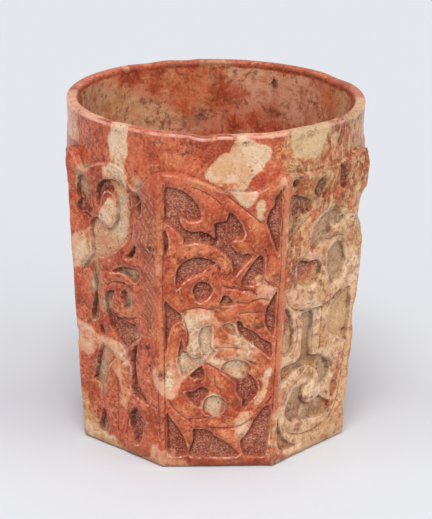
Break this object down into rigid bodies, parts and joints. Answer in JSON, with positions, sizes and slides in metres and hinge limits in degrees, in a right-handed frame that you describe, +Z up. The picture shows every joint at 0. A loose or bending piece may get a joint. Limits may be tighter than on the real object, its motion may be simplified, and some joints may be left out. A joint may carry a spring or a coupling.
{
  "type": "carved stone cup",
  "caption": "Open cup carved from one block of red and cream stone, with a round mouth, a faceted tapering body and sunk panels of scrolls",
  "frame": {"origin": "centre of the flat base", "axes": "+Z up through the mouth, -Y out of the front panel, +X to the right as the front panel is seen"},
  "size_m": [0.0806, 0.0806, 0.093],
  "materials": {
    "stone": "satin, waxed red stone with cream patches"
  },
  "bodies": {
    "root": {"cup": "stone"}
  },
  "joints": []
}
